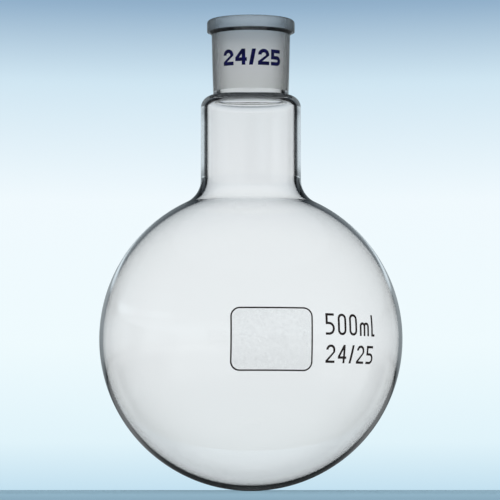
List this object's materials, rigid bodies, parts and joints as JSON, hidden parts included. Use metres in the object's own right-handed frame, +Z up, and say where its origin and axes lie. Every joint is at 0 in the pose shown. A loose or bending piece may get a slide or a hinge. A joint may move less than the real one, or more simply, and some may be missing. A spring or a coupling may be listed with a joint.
{
  "type": "round-bottom flask",
  "caption": "Short-necked round-bottom boiling flask of clear glass, with a tapered ground socket and collar on top and a writing panel on its bulb.",
  "frame": {"origin": "the lowest point of the bulb, on the axis of the flask", "axes": "+Z up along the axis to the mouth, -Y to the front with the marks, +X to the right"},
  "size_m": [0.105, 0.1051, 0.1638],
  "materials": {
    "clear_glass": "clear, fire-polished",
    "ground_glass": "clear outside, ground matt in the bore",
    "matt_enamel": "thin matt field, takes pencil",
    "dark_enamel": "fired-on enamel print, brown-black",
    "blue_enamel": "fired-on enamel print, dark blue"
  },
  "bodies": {
    "root": {"bulb": "clear_glass", "neck": "clear_glass", "ground_socket": "ground_glass", "rim_collar": "clear_glass", "writing_panel": "matt_enamel", "panel_border": "dark_enamel", "capacity_mark": "dark_enamel", "bulb_size_mark": "dark_enamel", "socket_size_mark": "blue_enamel"}
  },
  "joints": []
}
